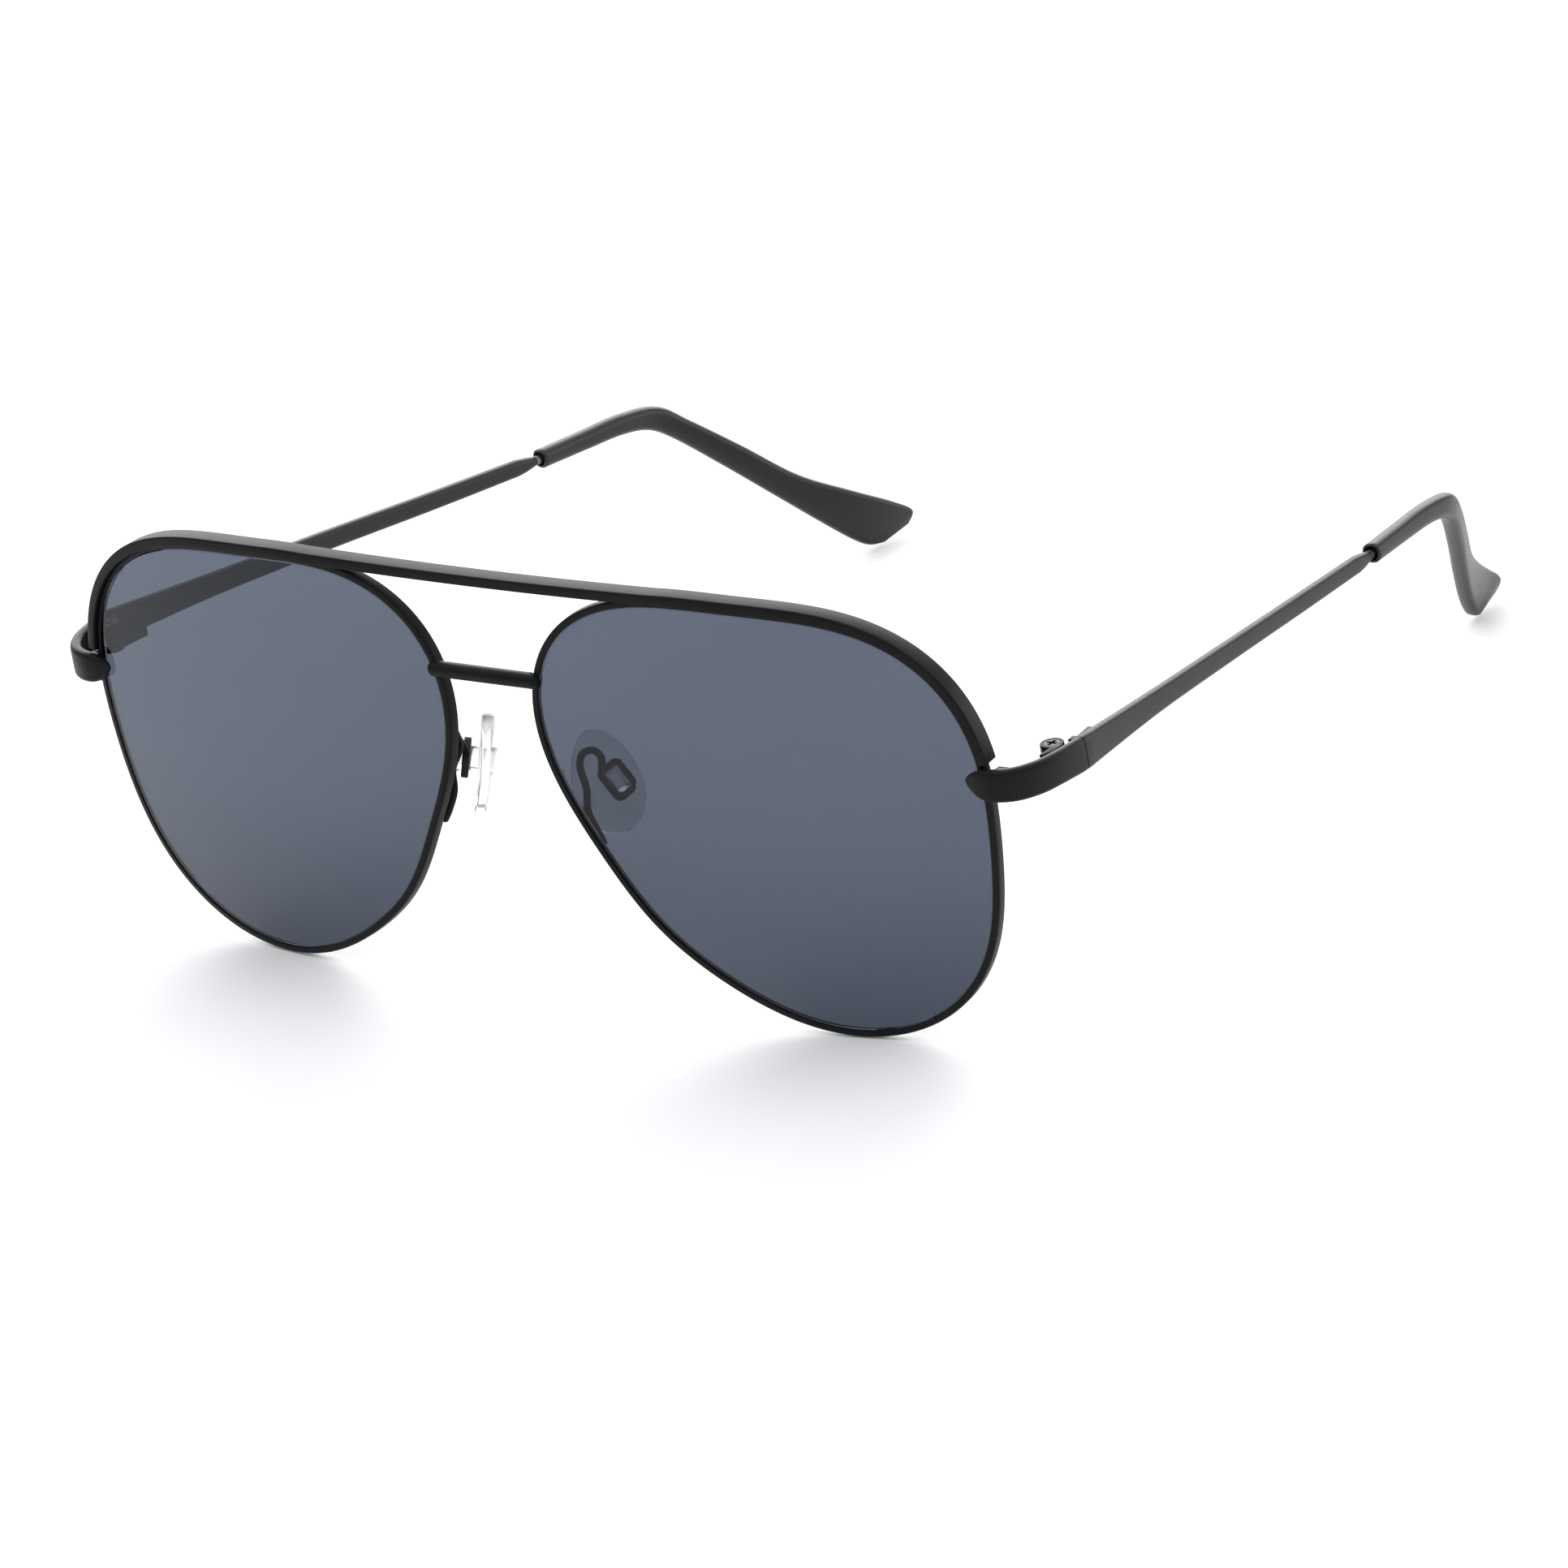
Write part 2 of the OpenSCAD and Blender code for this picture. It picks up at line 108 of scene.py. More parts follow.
def on_face(p, back):
    """Points p of the lens plane, so far behind the lens's middle surface."""
    y = LENS_RADIUS - np.sqrt(LENS_RADIUS**2 - (p**2).sum(-1)) + back
    y_lean = y * math.cos(LEAN) - p[..., 1] * math.sin(LEAN)
    z_lean = y * math.sin(LEAN) + p[..., 1] * math.cos(LEAN)
    x = LENS_X + p[..., 0] * math.cos(WRAP) - y_lean * math.sin(WRAP)
    return np.stack([x, p[..., 0] * math.sin(WRAP) + y_lean * math.cos(WRAP), z_lean], -1)


def off_edge(deg, out, back):
    """A point so far out from the lens edge at that angle."""
    return on_face(edge(deg) + np.asarray(out)[..., None] * edge_out(deg), np.asarray(back))


def along_edge(degrees, profile):
    """Rings of a profile of (out, back) pairs, one ring for each angle."""
    q = np.asarray(profile, float)
    return [off_edge(np.full(len(q), a), q[:, 0], q[:, 1]) for a in degrees]


# ---------------------------------------------------------------- curves and meshes


def curve(points, steps):
    """Catmull-Rom curve through the rows of points."""
    p = np.asarray(points, float)
    out = []
    for i in range(len(p) - 1):
        a, b, c, d = p[max(i - 1, 0)], p[i], p[i + 1], p[min(i + 2, len(p) - 1)]
        for k in range(steps):
            t = k / steps
            out.append(b + 0.5 * t * (c - a + t * (2 * a - 5 * b + 4 * c - d
                       + t * (3 * (b - c) + d - a))))
    out.append(p[-1])
    return np.array(out)


def unit(v):
    return v / np.linalg.norm(v)


def tangents(path):
    t = np.empty_like(path)
    t[1:-1] = path[2:] - path[:-2]
    t[0] = path[1] - path[0]
    t[-1] = path[-1] - path[-2]
    return t / np.linalg.norm(t, axis=1, keepdims=True)


def fillet(corners, steps=4):
    """A closed outline through corners of (x, y, radius), each corner rounded."""
    out = []
    n = len(corners)
    for i, (x, y, r) in enumerate(corners):
        p = np.array([x, y], float)
        a = np.array(corners[i - 1][:2], float) - p
        b = np.array(corners[(i + 1) % n][:2], float) - p
        la, lb = np.linalg.norm(a), np.linalg.norm(b)
        u, v = a / la, b / lb
        if r <= 0:
            out.append(p)
            continue
        half = math.acos(max(-1, min(1, float(u @ v)))) / 2
        cut = min(r / math.tan(half), 0.49 * la, 0.49 * lb)
        r = cut * math.tan(half)
        centre = p + unit(u + v) * r / math.sin(half)
        start, end = p + u * cut - centre, p + v * cut - centre
        a0 = math.atan2(start[1], start[0])
        turn = (math.atan2(end[1], end[0]) - a0 + math.pi) % (2 * math.pi) - math.pi
        for k in range(steps + 1):
            w = a0 + turn * k / steps
            out.append(centre + r * np.array([math.cos(w), math.sin(w)]))
    return np.array(out)


def box_profile(w, h, r, steps=4):
    x, y = w / 2, h / 2
    return fillet([(x, y, r), (-x, y, r), (-x, -y, r), (x, -y, r)], steps)


def round_profile(d, n=20):
    a = 2 * np.pi * np.arange(n) / n
    return d / 2 * np.stack([np.cos(a), np.sin(a)], -1)


def sweep(path, profiles, level=(0, 0, 1)):
    """Rings of each profile round its point of the path; a profile's x is level across the path."""
    path = np.asarray(path, float)
    rings = []
    for p, t, q in zip(path, tangents(path), profiles):
        side = unit(np.cross(t, level))
        up = np.cross(side, t)
        rings.append(p + q[:, :1] * side + q[:, 1:2] * up)
    return rings


SHARP = math.radians(38)


def finish_mesh(name, verts, faces, body, material, node_names, sharp=SHARP):
    mesh = bpy.data.meshes.new(name)
    mesh.from_pydata([tuple(v) for v in verts], [], faces)
    mesh.validate()
    mesh.update()
    made = bpy.data.objects.new(name, mesh)
    bpy.context.scene.collection.objects.link(made)
    work = bmesh.new()
    work.from_mesh(mesh)
    bmesh.ops.recalc_face_normals(work, faces=work.faces)
    work.to_mesh(mesh)
    work.free()
    mesh.polygons.foreach_set("use_smooth", [True] * len(mesh.polygons))
    mesh.set_sharp_from_angle(angle=sharp)
    mesh.materials.append(MATERIALS[material])
    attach(made, body)
    if node_names:
        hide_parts(*node_names)


def loft(name, rings, body, material, node_names, side=1, joined=False, sharp=SHARP):
    """A mesh through the rings, capped at both ends, or joined from the last ring to the first."""
    rings = [place(r, side) for r in rings]
    m = len(rings[0])
    verts = np.concatenate(rings)
    faces = []
    last = len(rings) if joined else len(rings) - 1
    for i in range(last):
        a, b = i * m, (i + 1) % len(rings) * m
        for j in range(m):
            k = (j + 1) % m
            faces.append((a + j, a + k, b + k, b + j))
    if not joined:
        verts = np.concatenate([verts, [rings[0].mean(0), rings[-1].mean(0)]])
        first, final, base = len(verts) - 2, len(verts) - 1, (len(rings) - 1) * m
        for j in range(m):
            k = (j + 1) % m
            faces.append((first, k, j))
            faces.append((final, base + j, base + k))
    finish_mesh(name, verts, faces, body, material, node_names, sharp)


# ---------------------------------------------------------------- materials


def new_material(name):
    mat = bpy.data.materials.new(name)
    mat.use_nodes = True
    nodes = mat.node_tree.nodes
    return mat, nodes, mat.node_tree.links, nodes["Principled BSDF"]


def noise(nodes, links, scale, detail=4.0, stretch=(1, 1, 1)):
    """Noise over the object's own space, scale in features a metre."""
    coord = nodes.new("ShaderNodeTexCoord")
    mapping = nodes.new("ShaderNodeMapping")
    mapping.inputs["Scale"].default_value = stretch
    tex = nodes.new("ShaderNodeTexNoise")
    tex.inputs["Scale"].default_value = scale
    tex.inputs["Detail"].default_value = detail
    links.new(coord.outputs["Object"], mapping.inputs["Vector"])
    links.new(mapping.outputs["Vector"], tex.inputs["Vector"])
    return tex.outputs["Fac"]


def object_axis(nodes, links, axis):
    """One axis of the object's own space, which is the frame's."""
    coord = nodes.new("ShaderNodeTexCoord")
    split = nodes.new("ShaderNodeSeparateXYZ")
    links.new(coord.outputs["Object"], split.inputs["Vector"])
    return split.outputs[axis]


def ramp(nodes, links, factor, stops):
    node = nodes.new("ShaderNodeValToRGB")
    node.color_ramp.elements[0].position = stops[0][0]
    node.color_ramp.elements[0].color = stops[0][1]
    node.color_ramp.elements[1].position = stops[-1][0]
    node.color_ramp.elements[1].color = stops[-1][1]
    for position, colour in stops[1:-1]:
        node.color_ramp.elements.new(position).color = colour
    links.new(factor, node.inputs["Fac"])
    return node.outputs["Color"]


def spread(nodes, links, factor, low, high, start=0.3, stop=0.7):
    """Runs from low to high as the factor runs from start to stop, a noise's usual range."""
    node = nodes.new("ShaderNodeMapRange")
    node.inputs["From Min"].default_value = start
    node.inputs["From Max"].default_value = stop
    node.inputs["To Min"].default_value = low
    node.inputs["To Max"].default_value = high
    links.new(factor, node.inputs["Value"])
    return node.outputs["Result"]


# Depth of the grain in the paint, the metal and the plastic, in metres.
GRAIN_DEPTH = 0.00002


def bump(nodes, links, height, strength, shader):
    node = nodes.new("ShaderNodeBump")
    node.inputs["Strength"].default_value = strength
    node.inputs["Distance"].default_value = GRAIN_DEPTH
    links.new(height, node.inputs["Height"])
    links.new(node.outputs["Normal"], shader.inputs["Normal"])


def grey(v, warm=0.0):
    return (v * (1 + warm), v, v * (1 - warm), 1)


# The paint's gloss rises between these depths of the frame, from the rims to the arms.
GLOSS_FROM, GLOSS_TO = -0.066, -0.053


def painted(name, dark, light, rough_low, rough_high, grain, strength, gloss, arm_gloss=None):
    """A paint or plastic with clouds of tone and a fine grain, and its own gloss on the arms."""
    mat, nodes, links, shader = new_material(name)
    cloud = noise(nodes, links, 90, 5)
    links.new(ramp(nodes, links, cloud, [(0.3, dark), (0.7, light)]), shader.inputs["Base Color"])
    fine = noise(nodes, links, grain, 3)
    links.new(spread(nodes, links, fine, rough_low, rough_high), shader.inputs["Roughness"])
    bump(nodes, links, fine, strength, shader)
    shader.inputs["Specular IOR Level"].default_value = gloss
    if arm_gloss:
        depth = object_axis(nodes, links, "Y")
        links.new(spread(nodes, links, depth, gloss, arm_gloss, GLOSS_FROM, GLOSS_TO),
                  shader.inputs["Specular IOR Level"])
    return mat


def brushed(name, dark, light, rough_low, rough_high, grain):
    """Bare or blackened metal with fine turning marks."""
    mat, nodes, links, shader = new_material(name)
    marks = noise(nodes, links, grain, 4, (1, 1, 6))
    links.new(ramp(nodes, links, marks, [(0.25, dark), (0.75, light)]), shader.inputs["Base Color"])
    links.new(spread(nodes, links, marks, rough_low, rough_high), shader.inputs["Roughness"])
    bump(nodes, links, marks, 0.15, shader)
    shader.inputs["Metallic"].default_value = 1.0
    return mat


# Height of the lens tops in the frame, in metres.
LENS_TOP = 0.055


def lens_glass(name):
    """Smoke-blue tinted plastic, darker at the bottom, with a faint polish haze."""
    mat, nodes, links, shader = new_material(name)
    height = spread(nodes, links, object_axis(nodes, links, "Z"), 0, 1, 0, LENS_TOP)
    tint = ramp(nodes, links, height,
                [(0.0, (0.054, 0.064, 0.09, 1)), (0.45, (0.074, 0.086, 0.118, 1)),
                 (1.0, (0.083, 0.096, 0.132, 1))])
    links.new(tint, shader.inputs["Base Color"])
    haze = noise(nodes, links, 400, 3)
    links.new(spread(nodes, links, haze, 0.003, 0.009), shader.inputs["Roughness"])
    shader.inputs["Transmission Weight"].default_value = 1.0
    shader.inputs["IOR"].default_value = 1.3
    return mat


def clear_plastic(name, low, high, rough, clarity, ior):
    """Clear plastic, cloudy from low to high, and a little milky where clarity is under 1."""
    mat, nodes, links, shader = new_material(name)
    cloud = noise(nodes, links, 250, 3)
    tint = ramp(nodes, links, cloud, [(0.3, grey(low, -0.005)), (0.7, grey(high))])
    links.new(tint, shader.inputs["Base Color"])
    links.new(spread(nodes, links, cloud, rough, 1.8 * rough), shader.inputs["Roughness"])
    fine = noise(nodes, links, 1500, 2)
    bump(nodes, links, fine, 0.06, shader)
    shader.inputs["Transmission Weight"].default_value = clarity
    shader.inputs["IOR"].default_value = ior
    return mat


MATERIALS = {
    "satin_black": painted("satin_black", grey(0.003), grey(0.007), 0.36, 0.46, 9000, 0.12, 0.1, 0.3),
    "hinge_black": painted("hinge_black", grey(0.003), grey(0.007), 0.34, 0.44, 7000, 0.12, 0.1),
    "tip_plastic": painted("tip_plastic", grey(0.01), grey(0.014), 0.32, 0.4, 5000, 0.1, 0.3),
    "screw_metal": brushed("screw_metal", grey(0.008), grey(0.03), 0.3, 0.45, 3000),
    "wire_metal": brushed("wire_metal", grey(0.12), grey(0.25), 0.3, 0.42, 2500),
    "tinted_lens": lens_glass("tinted_lens"),
    "clear_pad": clear_plastic("clear_pad", 0.86, 0.92, 0.06, 0.88, 1.26),
    "clear_clip": clear_plastic("clear_clip", 0.86, 0.92, 0.03, 0.94, 1.15),
}

SIDES = (("left", 1), ("right", -1))

# ---------------------------------------------------------------- rims and lenses

CUT_ANGLE = 11.6
CUT_HALF = 0.3
GROOVE = 0.42
GROOVE_HALF = 0.4
LENS_PLAY = 0.03

rim_profile = fillet([
    (0, -GROOVE_HALF, 0.0), (0, -RIM_HALF, 0.12), (RIM_WIDTH, -RIM_HALF, 0.24),
    (RIM_WIDTH, RIM_HALF, 0.24), (0, RIM_HALF, 0.12), (0, GROOVE_HALF, 0.0), (GROOVE, 0, 0.0)])
rim_angles = np.linspace(CUT_ANGLE - CUT_HALF, CUT_ANGLE + CUT_HALF - 360, 320)

LENS_HALF = LENS_THICK / 2
SHELF = GROOVE_HALF - LENS_PLAY
# How far in from the edge the dome of each face ends.
FRONT_BORDER, REAR_BORDER = 1.0, 0.8
LENS_SHARP = math.radians(3)
# The lens's border from the front face round the bevel to the rear face: out, back.
lens_rim = [(-FRONT_BORDER, -LENS_HALF), (-0.2, -LENS_HALF), (-0.05, 0.1 - LENS_HALF),
            (-LENS_PLAY, -SHELF), (GROOVE - 2 * LENS_PLAY, 0), (-LENS_PLAY, SHELF),
            (-0.05, LENS_HALF - 0.1), (-0.2, LENS_HALF), (-REAR_BORDER, LENS_HALF)]
lens_angles = np.linspace(0, 360, 288, endpoint=False)
dome = np.linspace(0.08, 1, 14)


def lens_rings():
    def level(value):
        return np.full(len(lens_angles), value)

    def inside(border):
        return edge(lens_angles) - border * edge_out(lens_angles)

    front = [on_face(s * inside(FRONT_BORDER), level(-LENS_HALF)) for s in dome[:-1]]
    rim = [off_edge(lens_angles, level(out), level(back)) for out, back in lens_rim]
    rear = [on_face(s * inside(REAR_BORDER), level(LENS_HALF)) for s in dome[-2::-1]]
    return front + rim + rear


for label, side in SIDES:
    loft(label + "_rim_wire", along_edge(rim_angles, rim_profile), "front", "satin_black",
         [label + "_rim"], side)
    loft(label + "_lens_glass", lens_rings(), "front", "tinted_lens", [label + "_lens"], side,
         sharp=LENS_SHARP)

# ---------------------------------------------------------------- brow bar and bridge bar

BROW_START, BROW_LEAVE = 17, 112
BROW_FRONT = -RIM_HALF - 0.7
BROW_BACK = BROW_FRONT + 2.5
BROW_TOP = RIM_WIDTH + 0.9
BROW_LIP = RIM_WIDTH - 0.4
BROW_SEAT = RIM_WIDTH + 0.03
BROW_BOW = np.array([0, -0.1, -0.3])

brow_profile = fillet([
    (BROW_LIP, BROW_FRONT, 0.2), (BROW_TOP, BROW_FRONT, 0.24), (BROW_TOP, BROW_BACK, 0.28),
    (BROW_SEAT, BROW_BACK, 0.18), (BROW_SEAT, BROW_FRONT + 0.65, 0.0),
    (BROW_LIP, BROW_FRONT + 0.65, 0.08)])
brow_rings = along_edge(np.linspace(BROW_START, BROW_LEAVE, 140), brow_profile)
far_ring = brow_rings[-1]
for s in np.linspace(1, 0, 30)[1:]:
    ring = far_ring + (1 - s * s) * BROW_BOW
    ring[:, 0] = s * far_ring[:, 0]
    brow_rings.append(ring)
brow_rings += [ring * [-1, 1, 1] for ring in brow_rings[-2::-1]]
loft("brow_bar_shell", brow_rings, "front", "satin_black", ["brow_bar"])

BRIDGE_RADIUS = 1.0
BRIDGE_HALF = 8.5
BRIDGE_FRONT = -1.95
BRIDGE_WALL = 6.95
BRIDGE_SEAT = -2.03
straight = BRIDGE_HALF - BRIDGE_RADIUS
# Half of the bar, from its middle to its round end: x, radius.
half_bar = [(x, BRIDGE_RADIUS) for x in np.linspace(0, BRIDGE_WALL, 12)]
half_bar += [(BRIDGE_WALL + 0.02, BRIDGE_RADIUS)]
half_bar += [(straight + BRIDGE_RADIUS * math.sin(a), BRIDGE_RADIUS * math.cos(a))
             for a in np.radians(np.linspace(0, 86, 12))]
bar_rings = []
for x, radius in half_bar[::-1]:
    q = round_profile(2 * radius, 32)
    y = BRIDGE_FRONT + q[:, 0]
    if x > BRIDGE_WALL:
        y = np.minimum(y, BRIDGE_SEAT)
    bar_rings.append(np.stack([np.full(len(q), x), y, BRIDGE_RISE + q[:, 1]], -1))
bar_rings += [ring * [-1, 1, 1] for ring in bar_rings[-2::-1]]
loft("bridge_bar_rod", bar_rings, "front", "satin_black", ["bridge_bar"])

# ---------------------------------------------------------------- endpieces and temples

PARTING_Y = HINGE[1] + 1.9
PARTING_GAP = 0.12
# Middle line of the left endpiece: x, y, z, height, thickness.
endpiece_line = [
    (65.5, 3.6, 7.2, 0.6, 0.5), (66.1, 3.6, 7.15, 1.9, 0.9), (67.6, 3.5, 7, 3.6, 1.4),
    (69.5, 3.7, 6.9, 4, 1.5), (71.7, 4.9, 6.9, 4.1, 1.5), (73.4, 7.2, 7, 4.1, 1.5),
    (74.2, 10, 7.1, 4.1, 1.5), (74.6, PARTING_Y - 0.7, 7.1, 4.2, 1.5)]
endpiece_rear = (74.61, PARTING_Y - PARTING_GAP / 2, 7.1, 4.2, 1.5)
# Middle line of the left temple, with a neck at its rear end.
temple_front = (74.61, PARTING_Y + PARTING_GAP / 2, 7.1, 4.2, 1.5)
temple_line = [
    (74.6, PARTING_Y + 0.7, 7.1, 4.2, 1.5), (72.3, 32, 5.75, 3, 1.5), (69.8, 51, 4, 2.6, 1.5),
    (67.3, 69, 2.2, 2.4, 1.5), (65.3, 84, 0.8, 2.2, 1.5)]
temple_neck = [(65.1, 85.5, 0.65, 1.9, 1.4), (64.85, 87.4, 0.5, 1.2, 1.2)]
SEAT_DEPTH = RIM_HALF + 0.01
BAND_ROUND = 0.62


def band(line):
    return sweep(line[:, :3],
                 [box_profile(p[4], p[3], min(BAND_ROUND, 0.48 * p[4])) for p in line])


def seated(rings):
    """Keeps the endpiece's rings in front of the rim and the lens."""
    a, b, c = (off_edge(np.array(w), np.array(o), np.array(-SEAT_DEPTH))
               for w, o in ((12, -3.0), (12, RIM_WIDTH), (20, 0.0)))
    normal = np.cross(b - a, c - a)
    out = []
    for ring in rings:
        ring = ring.copy()
        plane = a[1] - (normal[0] * (ring[:, 0] - a[0]) + normal[2] * (ring[:, 2] - a[2])) / normal[1]
        inside = ring[:, 0] < b[0] + 0.02
        ring[inside, 1] = np.minimum(ring[inside, 1], plane[inside])
        out.append(ring)
    return out


end_rows = np.concatenate([curve(endpiece_line, 8), [endpiece_rear]])
temple_rows = np.concatenate([[temple_front], curve(temple_line, 12), temple_neck])
for label, side in SIDES:
    loft(label + "_endpiece_band", seated(band(end_rows)), "front", "satin_black",
         [label + "_endpiece"], side)
    loft(label + "_temple_bar", band(temple_rows), label + "_arm", "satin_black",
         [label + "_temple"], side)

# ---------------------------------------------------------------- tips

# The left tip's lower edge, upper edge and thickness from its mouth to its rounded end.
tip_edges = [
    (64.7, 88.3, -0.8, 64.7, 88.3, 1.7, 2.4), (63.7, 96, -1.3, 63.7, 96, 1.3, 2.4),
    (62.9, 102.5, -1.8, 62.8, 103, 0.9, 2.4), (62.1, 107, -2.9, 61.8, 109.2, -0.4, 2.4),
    (60.6, 110.2, -5.2, 60, 112.9, -3.6, 2.4), (57.2, 115.4, -11, 56.4, 118.2, -9, 2.3),
    (53.4, 120.6, -17.2, 52.6, 123.8, -15, 2.2), (50.2, 125.2, -22.6, 49, 130.2, -19.6, 2.1),
    (48.4, 128.2, -25.8, 47, 135, -22.8, 2), (47.6, 130, -27.1, 46.3, 138, -25.2, 1.7),
    (47, 131.8, -27.5, 46.3, 137, -26.7, 0.9)]
WIRE_END = 7
CORE_DIAMETER = 1.2
# The sleeve's mouth from inside its bore out to its lip: share of the sleeve's size, depth.
TIP_MOUTH = ((0.6, 1.6), (0.68, 0.2), (0.74, -0.12), (0.93, -0.12))


def tip_rings():
    rows = curve(tip_edges, 10)
    low, high = rows[:, :3], rows[:, 3:6]
    mids = (low + high) / 2
    rings = []
    for mid, along, half, thick in zip(mids, tangents(mids), (high - low) / 2, rows[:, 6]):
        across = unit(np.cross(along, half)) * thick / 2
        reach_up = np.linalg.norm(half)
        q = box_profile(thick, 2 * reach_up, 0.44 * min(thick, 2 * reach_up), 6)
        rings.append(mid + q[:, :1] / (thick / 2) * across + q[:, 1:2] / reach_up * half)
    middle, inward = mids[0], unit(mids[1] - mids[0])
    mouth = [middle + (rings[0] - middle) * share + depth * inward for share, depth in TIP_MOUTH]
    return mouth + rings


tip_middles = [(np.array(p[:3]) + np.array(p[3:6])) / 2 for p in tip_edges[:WIRE_END + 1]]
wire_rows = np.concatenate([[(64.85, 87.42, 0.5)], curve(tip_middles, 6)])
for label, side in SIDES:
    arm = label + "_arm"
    loft(label + "_tip_sleeve", tip_rings(), arm, "tip_plastic", [label + "_temple_tip"], side)
    loft(label + "_wire_core", sweep(wire_rows, [round_profile(CORE_DIAMETER, 20)] * len(wire_rows)),
         arm, "wire_metal", [label + "_core_wire"], side)

# ---------------------------------------------------------------- nose pads

PAD_AT = np.array([9.65, 6.6, -0.15])
PAD_SPLAY, PAD_FLARE, PAD_TIP = (math.radians(v) for v in (33, 16, 3))
PAD_LENGTH, PAD_THICK, PAD_OFFSET = 13.0, 2.3, 0.8
# Half the pad's width, how much wider its lower end is, and how much its ends curve back.
PAD_HALF_WIDTH, PAD_EGG, PAD_BOW = 4.2, 0.16, 0.012
RING_BACK, RING_TURN = 2.65, math.radians(18)
RING_SIZE, RING_WALL, RING_THICK = (3.4, 4.7), 0.85, 0.9
ARM_DIAMETER = 0.9
RING_CORNER, RING_EDGE = 0.46, 0.16
NOTCH_DEPTH, NOTCH_REACH = 0.36, 0.3
pad_turn = np.array(Matrix.Rotation(-PAD_FLARE, 3, "Y") @ Matrix.Rotation(-PAD_TIP, 3, "X")
                    @ Matrix.Rotation(-PAD_SPLAY, 3, "Z"))
ring_turn = pad_turn @ np.array(Matrix.Rotation(RING_TURN, 3, "X"))


def pad_rings():
    rings = []
    for s in np.sin(np.radians(np.linspace(88, -88, 45))):
        width = max(0.25, PAD_HALF_WIDTH * math.sqrt(1 - s * s) * (1 - PAD_EGG * s))
        z = s * PAD_LENGTH / 2
        thick = PAD_THICK * (0.5 + 0.5 * math.sqrt(1 - 0.97 * s * s))
        a = 2 * np.pi * (np.arange(40) + 0.5) / 40
        c, d = np.cos(a), np.sin(a)
        x = np.sign(c) * np.abs(c) ** 0.6 * thick / 2 + PAD_BOW * z * z
        y = np.sign(d) * np.abs(d) ** 0.75 * width - PAD_OFFSET
        rings.append(np.stack([x, y, np.full(40, z)], -1) @ pad_turn.T + PAD_AT)
    return rings


# Middle line of the left pad arm: a foot on the rim, up, over and back to the ring.
arm_line = [
    (12.3, 0.03, -5.4), (11.45, 0.25, -3.95), (10.4, 0.45, -1.6), (10.4, 0.9, 1), (9.4, 1.6, 3.4),
    (9.7, 2, 4.9), (10.7, 2.7, 5.3), (11.2, 3.5, 4.3), (10.8, 3.9, 2.7), (10.6, 4, 1.9)]
arm_rows = curve(arm_line, 10)


def arm_rings():
    """The wire, with rounded ends."""
    rings = sweep(arm_rows, [round_profile(ARM_DIAMETER, 20)] * len(arm_rows), (1, 0, 0))
    way = tangents(arm_rows)
    ends = []
    for k, sign in ((0, -1), (-1, 1)):
        cap = [arm_rows[k] + (rings[k] - arm_rows[k]) * math.cos(w)
               + sign * way[k] * ARM_DIAMETER / 2 * math.sin(w) for w in np.radians((30, 60, 80))]
        ends.append(cap)
    return ends[0][::-1] + rings + ends[1]


def window_rings():
    """The closed rectangular ring that holds the pad's clip, with its notch at a lower corner."""
    x, y = ((size - RING_WALL) / 2 for size in RING_SIZE)
    r = RING_CORNER
    loop = fillet([(x, 0, 0), (x, y, r), (-x, y, r), (-x, -y, r), (x, -y, r)], 8)
    path = []
    for a, b in zip(loop, np.roll(loop, -1, 0)):
        n = max(1, round(np.linalg.norm(b - a) / 0.15))
        path += [a + (b - a) * k / n for k in range(n)]
    path = np.array(path)
    notch = np.array([x, -y]) + 0.3 * r * np.array([-1, 1])
    rings = []
    for p, before, after in zip(path, np.roll(path, 1, 0), np.roll(path, -1, 0)):
        along = unit(after - before)
        outward = np.array([along[1], -along[0]])
        cut = NOTCH_DEPTH * math.exp(-((p - notch) @ (p - notch)) / NOTCH_REACH**2)
        q = box_profile(RING_WALL - cut, RING_THICK, RING_EDGE)
        spot = p + (q[:, :1] - cut / 2) * outward
        ring = np.column_stack([RING_BACK + q[:, 1], spot])
        rings.append(ring @ ring_turn.T + PAD_AT)
    return rings


for label, side in SIDES:
    loft(label + "_pad_cushion", pad_rings(), label + "_pad", "clear_pad",
         [label + "_nose_pad"], side)
    loft(label + "_pad_wire", arm_rings(), "front", "satin_black", [label + "_pad_arm"], side)
    loft(label + "_pad_window", window_rings(), "front", "satin_black", [], side, joined=True)

# ---------------------------------------------------------------- small CAD parts that stay

# The parts whose CAD solids are shown: material, and the radius of their broken edges.
KEPT = {
    "closing_block_upper": ("satin_black", 0.12), "closing_block_lower": ("satin_black", 0.12),
    "closing_screw": ("screw_metal", 0.04), "pad_clip": ("clear_clip", 0.15),
    "hinge_front_leaf": ("hinge_black", 0.08), "hinge_temple_leaf": ("hinge_black", 0.1),
    "hinge_screw": ("screw_metal", 0.05)}
WELD_REACH = 0.000002

for label, side in SIDES:
    for part, (material, radius) in KEPT.items():
        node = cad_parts[label + "_" + part]
        node.data.materials.clear()
        node.data.materials.append(MATERIALS[material])
        weld = node.modifiers.new("weld", "WELD")
        weld.merge_threshold = WELD_REACH
        bevel = node.modifiers.new("bevel", "BEVEL")
        bevel.width = radius / 1000
        bevel.segments = 3
        bevel.limit_method = "ANGLE"
        bevel.angle_limit = math.radians(50)
        node.data.polygons.foreach_set("use_smooth", [True] * len(node.data.polygons))
        node.data.set_sharp_from_angle(angle=math.radians(40))

# ---------------------------------------------------------------- floor, lights and camera


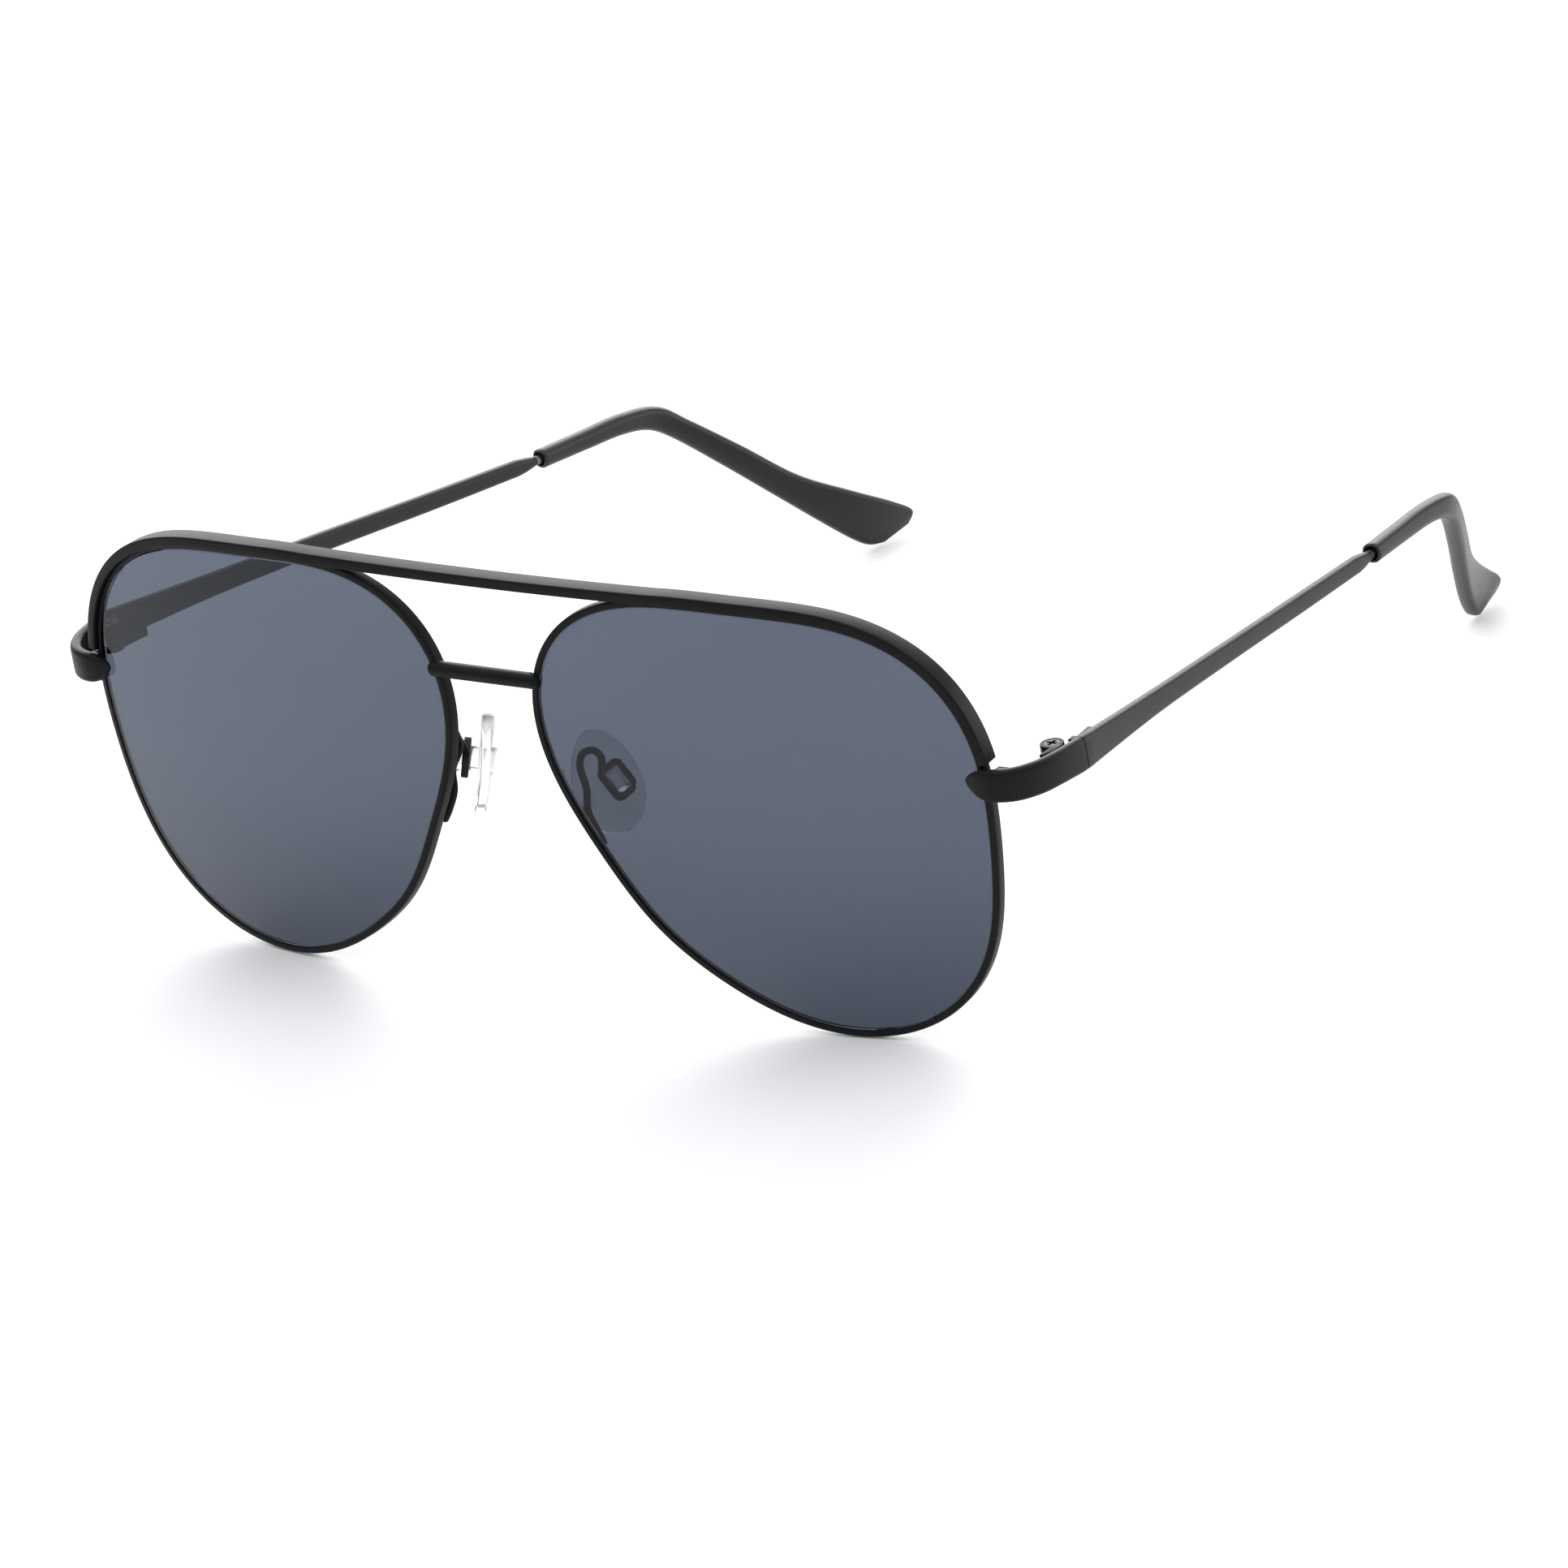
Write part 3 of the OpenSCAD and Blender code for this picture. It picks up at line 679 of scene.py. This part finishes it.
def stage_material():
    mat, nodes, links, shader = new_material("pale_floor")
    cloud = noise(nodes, links, 3, 4)
    tint = ramp(nodes, links, cloud, [(0.3, (0.9, 0.9, 0.905, 1)), (0.7, (0.92, 0.92, 0.92, 1))])
    links.new(tint, shader.inputs["Base Color"])
    links.new(spread(nodes, links, noise(nodes, links, 60, 3), 0.7, 0.85), shader.inputs["Roughness"])
    shader.inputs["Specular IOR Level"].default_value = 0.1
    return mat


def make_floor():
    mesh = bpy.data.meshes.new("floor_sheet")
    half = 4.0
    mesh.from_pydata([(-half, -half, 0), (half, -half, 0), (half, half, 0), (-half, half, 0)],
                     [], [(0, 1, 2, 3)])
    mesh.materials.append(stage_material())
    made = bpy.data.objects.new("floor_sheet", mesh)
    made.location.z = -0.0002
    bpy.context.scene.collection.objects.link(made)


def area_light(name, at, target, size, power):
    data = bpy.data.lights.new(name, "AREA")
    data.shape = "RECTANGLE"
    data.size, data.size_y = size
    data.energy = power
    made = bpy.data.objects.new(name, data)
    bpy.context.scene.collection.objects.link(made)
    made.location = at
    made.rotation_mode = "QUATERNION"
    made.rotation_quaternion = (Vector(target) - Vector(at)).to_track_quat("-Z", "Y")


make_floor()
area_light("overhead_box", (0.0, 0.05, 1.2), (0, 0, 0), (2.8, 2.6), 22)
area_light("rear_box", (-0.75, 1.0, 0.6), (0, 0, 0.04), (1.8, 0.9), 21)
area_light("side_box", (1.0, 1.05, 0.34), (0, 0, 0.03), (0.9, 0.6), 5)

world = bpy.data.worlds.new("studio")
world.use_nodes = True
world.node_tree.nodes["Background"].inputs["Color"].default_value = (0.95, 0.97, 1, 1)
world.node_tree.nodes["Background"].inputs["Strength"].default_value = 0.58
bpy.context.scene.world = world
bpy.context.scene.view_settings.view_transform = "Standard"

AZIMUTH, ELEVATION, ROLL = (math.radians(v) for v in (40.38, 22.16, -10.14))
CAMERA_AT = (808.63, -902.35, 487.89)
back = Vector((math.sin(AZIMUTH) * math.cos(ELEVATION), -math.cos(AZIMUTH) * math.cos(ELEVATION),
               math.sin(ELEVATION)))
level = Vector((math.cos(AZIMUTH), math.sin(AZIMUTH), 0))
above = back.cross(level)
right = math.cos(ROLL) * level + math.sin(ROLL) * above
upward = -math.sin(ROLL) * level + math.cos(ROLL) * above
camera_data = bpy.data.cameras.new("product_camera")
camera_data.lens = 251.5
camera_data.sensor_width = 36
camera_data.clip_start, camera_data.clip_end = 0.05, 20
camera = bpy.data.objects.new("product_camera", camera_data)
bpy.context.scene.collection.objects.link(camera)
pose = Matrix((right, upward, back)).transposed().to_4x4()
pose.translation = Vector(place(CAMERA_AT))
camera.matrix_world = pose
bpy.context.scene.camera = camera
